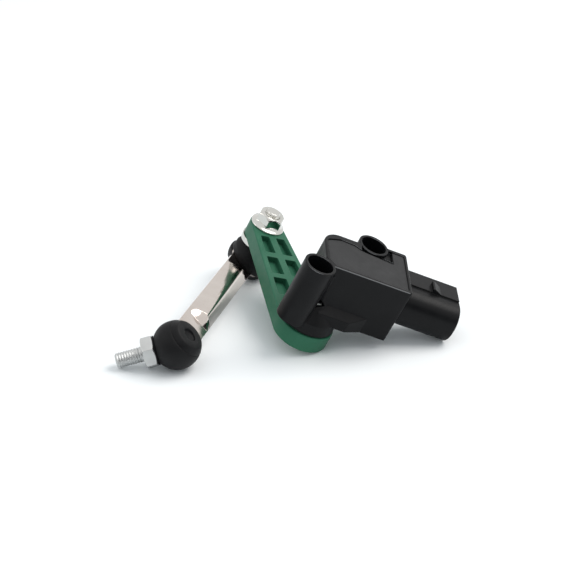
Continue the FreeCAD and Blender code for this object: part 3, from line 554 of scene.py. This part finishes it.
def thread_radius(angle, height, start, tip):
    """Radius of an M6 thread with rounded crests, run out at both ends."""
    phase = (height / THREAD_PITCH - angle / (2 * math.pi)) % 1.0
    wave = 0.5 - 0.5 * math.cos(2 * math.pi * phase)
    groove = THREAD_DEPTH * wave ** 0.8
    fade = max(0.0, min(1.0, (height - start) / 0.9))
    chamfer = THREAD_R - 0.62 + (tip - height)
    return min(THREAD_R - groove * fade, max(chamfer, THREAD_R - 0.75))


def threaded_rod(name, start, tip):
    sides = 72
    rings = []
    steps = int((tip - start) / 0.1)
    for i in range(steps + 1):
        height = start + (tip - start) * i / steps
        ring = []
        for k in range(sides):
            angle = 2 * math.pi * k / sides
            r = thread_radius(angle, height, start + 0.4, tip)
            ring.append((r * math.cos(angle) * MM, r * math.sin(angle) * MM, height * MM))
        rings.append(ring)
    return skin(name, rings, crease=60.0)


def turned_piece(name, profile, sides=72):
    """profile holds radius and height pairs, or is a function of the angle that gives such a list."""
    columns = []
    for k in range(sides):
        angle = 2 * math.pi * k / sides
        column = profile(angle) if callable(profile) else profile
        columns.append([(r * math.cos(angle) * MM, r * math.sin(angle) * MM, h * MM) for r, h in column])
    return skin(name, [list(ring) for ring in zip(*columns)])


def ball_and_neck(neck_end):
    profile = []
    for k in range(1, 23):
        a = math.pi - k * math.pi / 24
        if 5.0 * math.sin(a) < 1.95 and a < math.pi / 2:
            break
        profile.append((5.0 * math.sin(a), 5.0 * math.cos(a)))
    profile.append((1.9, 4.625))
    profile.append((1.9, neck_end))
    return profile


def hexagon_head(name, across_flats, low, high):
    """A hexagon whose corners are turned off by a cone at both ends."""
    corner = across_flats / math.sqrt(3)
    per_side = 12
    rings = []
    heights = [low, low + 0.12, low + 0.24, low + 0.36, low + 0.6, high - 0.6, high - 0.36, high - 0.24,
               high - 0.12, high]
    for height in heights:
        limit = corner - 0.85 + min(height - low, high - height) * 1.9
        ring = []
        for side in range(6):
            for k in range(per_side):
                a = math.radians(60 * side + 60 * k / per_side)
                flat = across_flats / 2 / math.cos((a % (math.pi / 3)) - math.pi / 6)
                r = min(flat, limit)
                ring.append((r * math.cos(a) * MM, r * math.sin(a) * MM, height * MM))
        rings.append(ring)
    return skin(name, rings, crease=22.0)


def nut_hexagon(name, across_flats, height):
    """The nut's hexagon: plain at the flange, coned off at the top, and dished round the thread."""
    corner = across_flats / math.sqrt(3)
    rings = []
    for low, limit in ((0.6, 9.0), (height - 1.5, 9.0), (height - 1.1, corner), (height - 0.75, corner - 0.3),
                       (height - 0.4, corner - 0.62), (height, corner - 1.0)):
        ring = []
        for side in range(6):
            for k in range(12):
                a = math.radians(60 * side + 5 * k)
                flat = across_flats / 2 / math.cos((a % (math.pi / 3)) - math.pi / 6)
                r = min(flat, limit)
                ring.append((r * math.cos(a) * MM, r * math.sin(a) * MM, low * MM))
        rings.append(ring)
    for r, low in ((3.75, height), (3.1, height - 0.55)):
        rings.append([(r * math.cos(math.radians(5 * k)) * MM, r * math.sin(math.radians(5 * k)) * MM,
                       low * MM) for k in range(72)])
    return skin(name, rings, crease=22.0)


def joined(name, parts):
    """One object from several closed skins."""
    meshes = []
    points, faces = [], []
    for part in parts:
        base = len(points)
        points += [v.co.copy() for v in part.data.vertices]
        faces += [tuple(base + i for i in p.vertices) for p in part.data.polygons]
        meshes.append(part.data)
        bpy.data.objects.remove(part)
    mesh = bpy.data.meshes.new(name)
    mesh.from_pydata(points, [], faces)
    mesh.update()
    mesh.polygons.foreach_set("use_smooth", [True] * len(mesh.polygons))
    mesh.set_sharp_from_angle(angle=math.radians(28.0))
    for old in meshes:
        bpy.data.meshes.remove(old)
    made = bpy.data.objects.new(name, mesh)
    bpy.context.scene.collection.objects.link(made)
    return made


lower_parts = [
    turned_piece("stud_ball", ball_and_neck(8.5)),
    turned_piece("stud_shoulder", [(4.3, 8.42), (4.3, 8.6)]),
    hexagon_head("stud_hexagon", 11.0, 8.4, 12.9),
    turned_piece("stud_face", [(4.9, 12.8), (4.9, 12.98), (4.6, 13.02)]),
    threaded_rod("stud_thread", 12.9, 23.5),
]
lower_visual = joined("lower_stud_threaded", lower_parts)
lower_visual.data.transform(axis_frame(lower_ball, lower_stud, lower_tilt))
upper_parts = [
    turned_piece("stud_ball", ball_and_neck(8.6)),
    turned_piece("stud_collar", [(6.5, 8.4), (6.9, 8.42), (7.7, 8.78), (7.8, 8.9), (7.8, 10.9), (7.7, 11.0)]),
    threaded_rod("stud_thread", 10.9, 25.2),
]
upper_visual = joined("upper_stud_threaded", upper_parts)
upper_visual.data.transform(axis_frame(upper_ball, upper_stud, upper_tilt))
for made, node, body, plating in ((lower_visual, "lower_ball_stud", "lower_stud_body", zinc_plate),
                                  (upper_visual, "upper_ball_stud", "lever_body", bright_zinc)):
    made.data.materials.append(plating)
    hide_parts(node)
    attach(made, body)

# %% [markdown]
# ## Flange nut
# The nut that clamps the lever to its ball stud has a washer formed onto it. Its hexagon and its flange are
# two shapes from the same ring helper, turned a few degrees so that a corner faces the viewer, as a nut
# stops where its torque is reached and not square to the lever.

# %% Nut
NUT_TURN = math.radians(14.0)
LEVER_TOP = 18.0
NUT_FLATS, NUT_HEIGHT = 10.0, 5.9
flange_profile = [(6.9, 0.0), (7.1, 0.12), (7.1, 0.62), (6.95, 0.8), (6.5, 1.0), (5.7, 1.5), (5.2, 2.1)]
nut_parts = [
    nut_hexagon("nut_hexagon", NUT_FLATS, NUT_HEIGHT),
    turned_piece("nut_flange", flange_profile),
]
nut_visual = joined("flange_nut_detailed", nut_parts)
nut_place = upper_ball + upper_stud * LEVER_TOP * MM
corner_way = Vector((math.cos(NUT_TURN), math.sin(NUT_TURN), 0))
nut_visual.data.transform(axis_frame(nut_place, upper_stud, corner_way))
nut_visual.data.materials.append(bright_zinc)
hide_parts("flange_nut")
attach(nut_visual, "lever_body")
print("nut box", [round(v * 1000, 1) for v in nut_visual.dimensions])

# %% [markdown]
# ## Moulded cups
# The black cups close round the eyes of the link. Their outsides are turned here from short profiles, with
# the waist that the boot's rim sits in at the top joint and a deeper gate dimple than the CAD cups have.

# %% Moulded cups
SEAT_SPHERE, CUP_FLOOR = 5.95, -7.0


def on_sphere(radius, degrees):
    a = math.radians(degrees)
    return (radius * math.sin(a), radius * math.cos(a))


def cup_inside():
    return [on_sphere(SEAT_SPHERE, d) for d in (176, 164, 150, 135, 120, 105, 90, 75, 57)]


def cup_floor(radius, dimple):
    """The flat under the cup, with the dimple that its gate leaves."""
    return [(radius, CUP_FLOOR), (3.0, CUP_FLOOR), (2.85, CUP_FLOOR + 0.04), (2.78, CUP_FLOOR + 0.15),
            (2.7, CUP_FLOOR + dimple - 0.1), (2.5, CUP_FLOOR + dimple), (0.3, CUP_FLOOR + dimple)]


def place_cup(name, profile, ball, axis, hint, node):
    made = turned_piece(name, profile)
    made.data.transform(axis_frame(ball, axis, hint))
    made.data.materials.append(socket_nylon)
    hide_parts(node)
    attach(made, "link_body")
    return made


def upper_profile(angle):
    """The upper cup laps over the rim of the eye, except round the side where the strip leaves it."""
    off = abs((angle + math.pi) % (2 * math.pi) - math.pi)
    t = max(0.0, min(1.0, (math.degrees(off) - 50.0) / 50.0))
    lap = t * t * (3 - 2 * t)
    column = cup_inside() + [on_sphere(7.7, d) for d in (57, 63, 70, 77, 84)]
    column += [(7.6 + 1.9 * lap, -0.84), (7.6 + 2.1 * lap, -1.1), (7.6 + 2.05 * lap, -2.0)]
    column += [(8.1 + 1.5 * lap, -2.21)]
    column += [on_sphere(8.45 + 1.4 * lap, d) for d in (106, 110, 115, 120, 125, 130, 135)]
    return column + cup_floor(5.4, 0.6)


lower_profile = cup_inside() + [on_sphere(8.2, d) for d in (57, 65, 75, 85, 95, 105, 115, 125)]
lower_profile += [on_sphere(9.3, d) for d in (121, 124, 127, 130, 133, 136, 138)]
lower_profile += cup_floor(5.95, 0.85)
along_link = lower_ball - upper_ball
place_cup("upper_cup_moulded", upper_profile, upper_ball, upper_cup, along_link, "upper_socket")
place_cup("lower_cup_moulded", lower_profile, lower_ball, lower_cup, lower_tilt, "lower_socket")
print("cup points", len(upper_profile(0.0)), len(lower_profile))
for made in (lower_visual, upper_visual):
    print(made.name, sum(len(p.vertices) - 2 for p in made.data.polygons), "triangles")
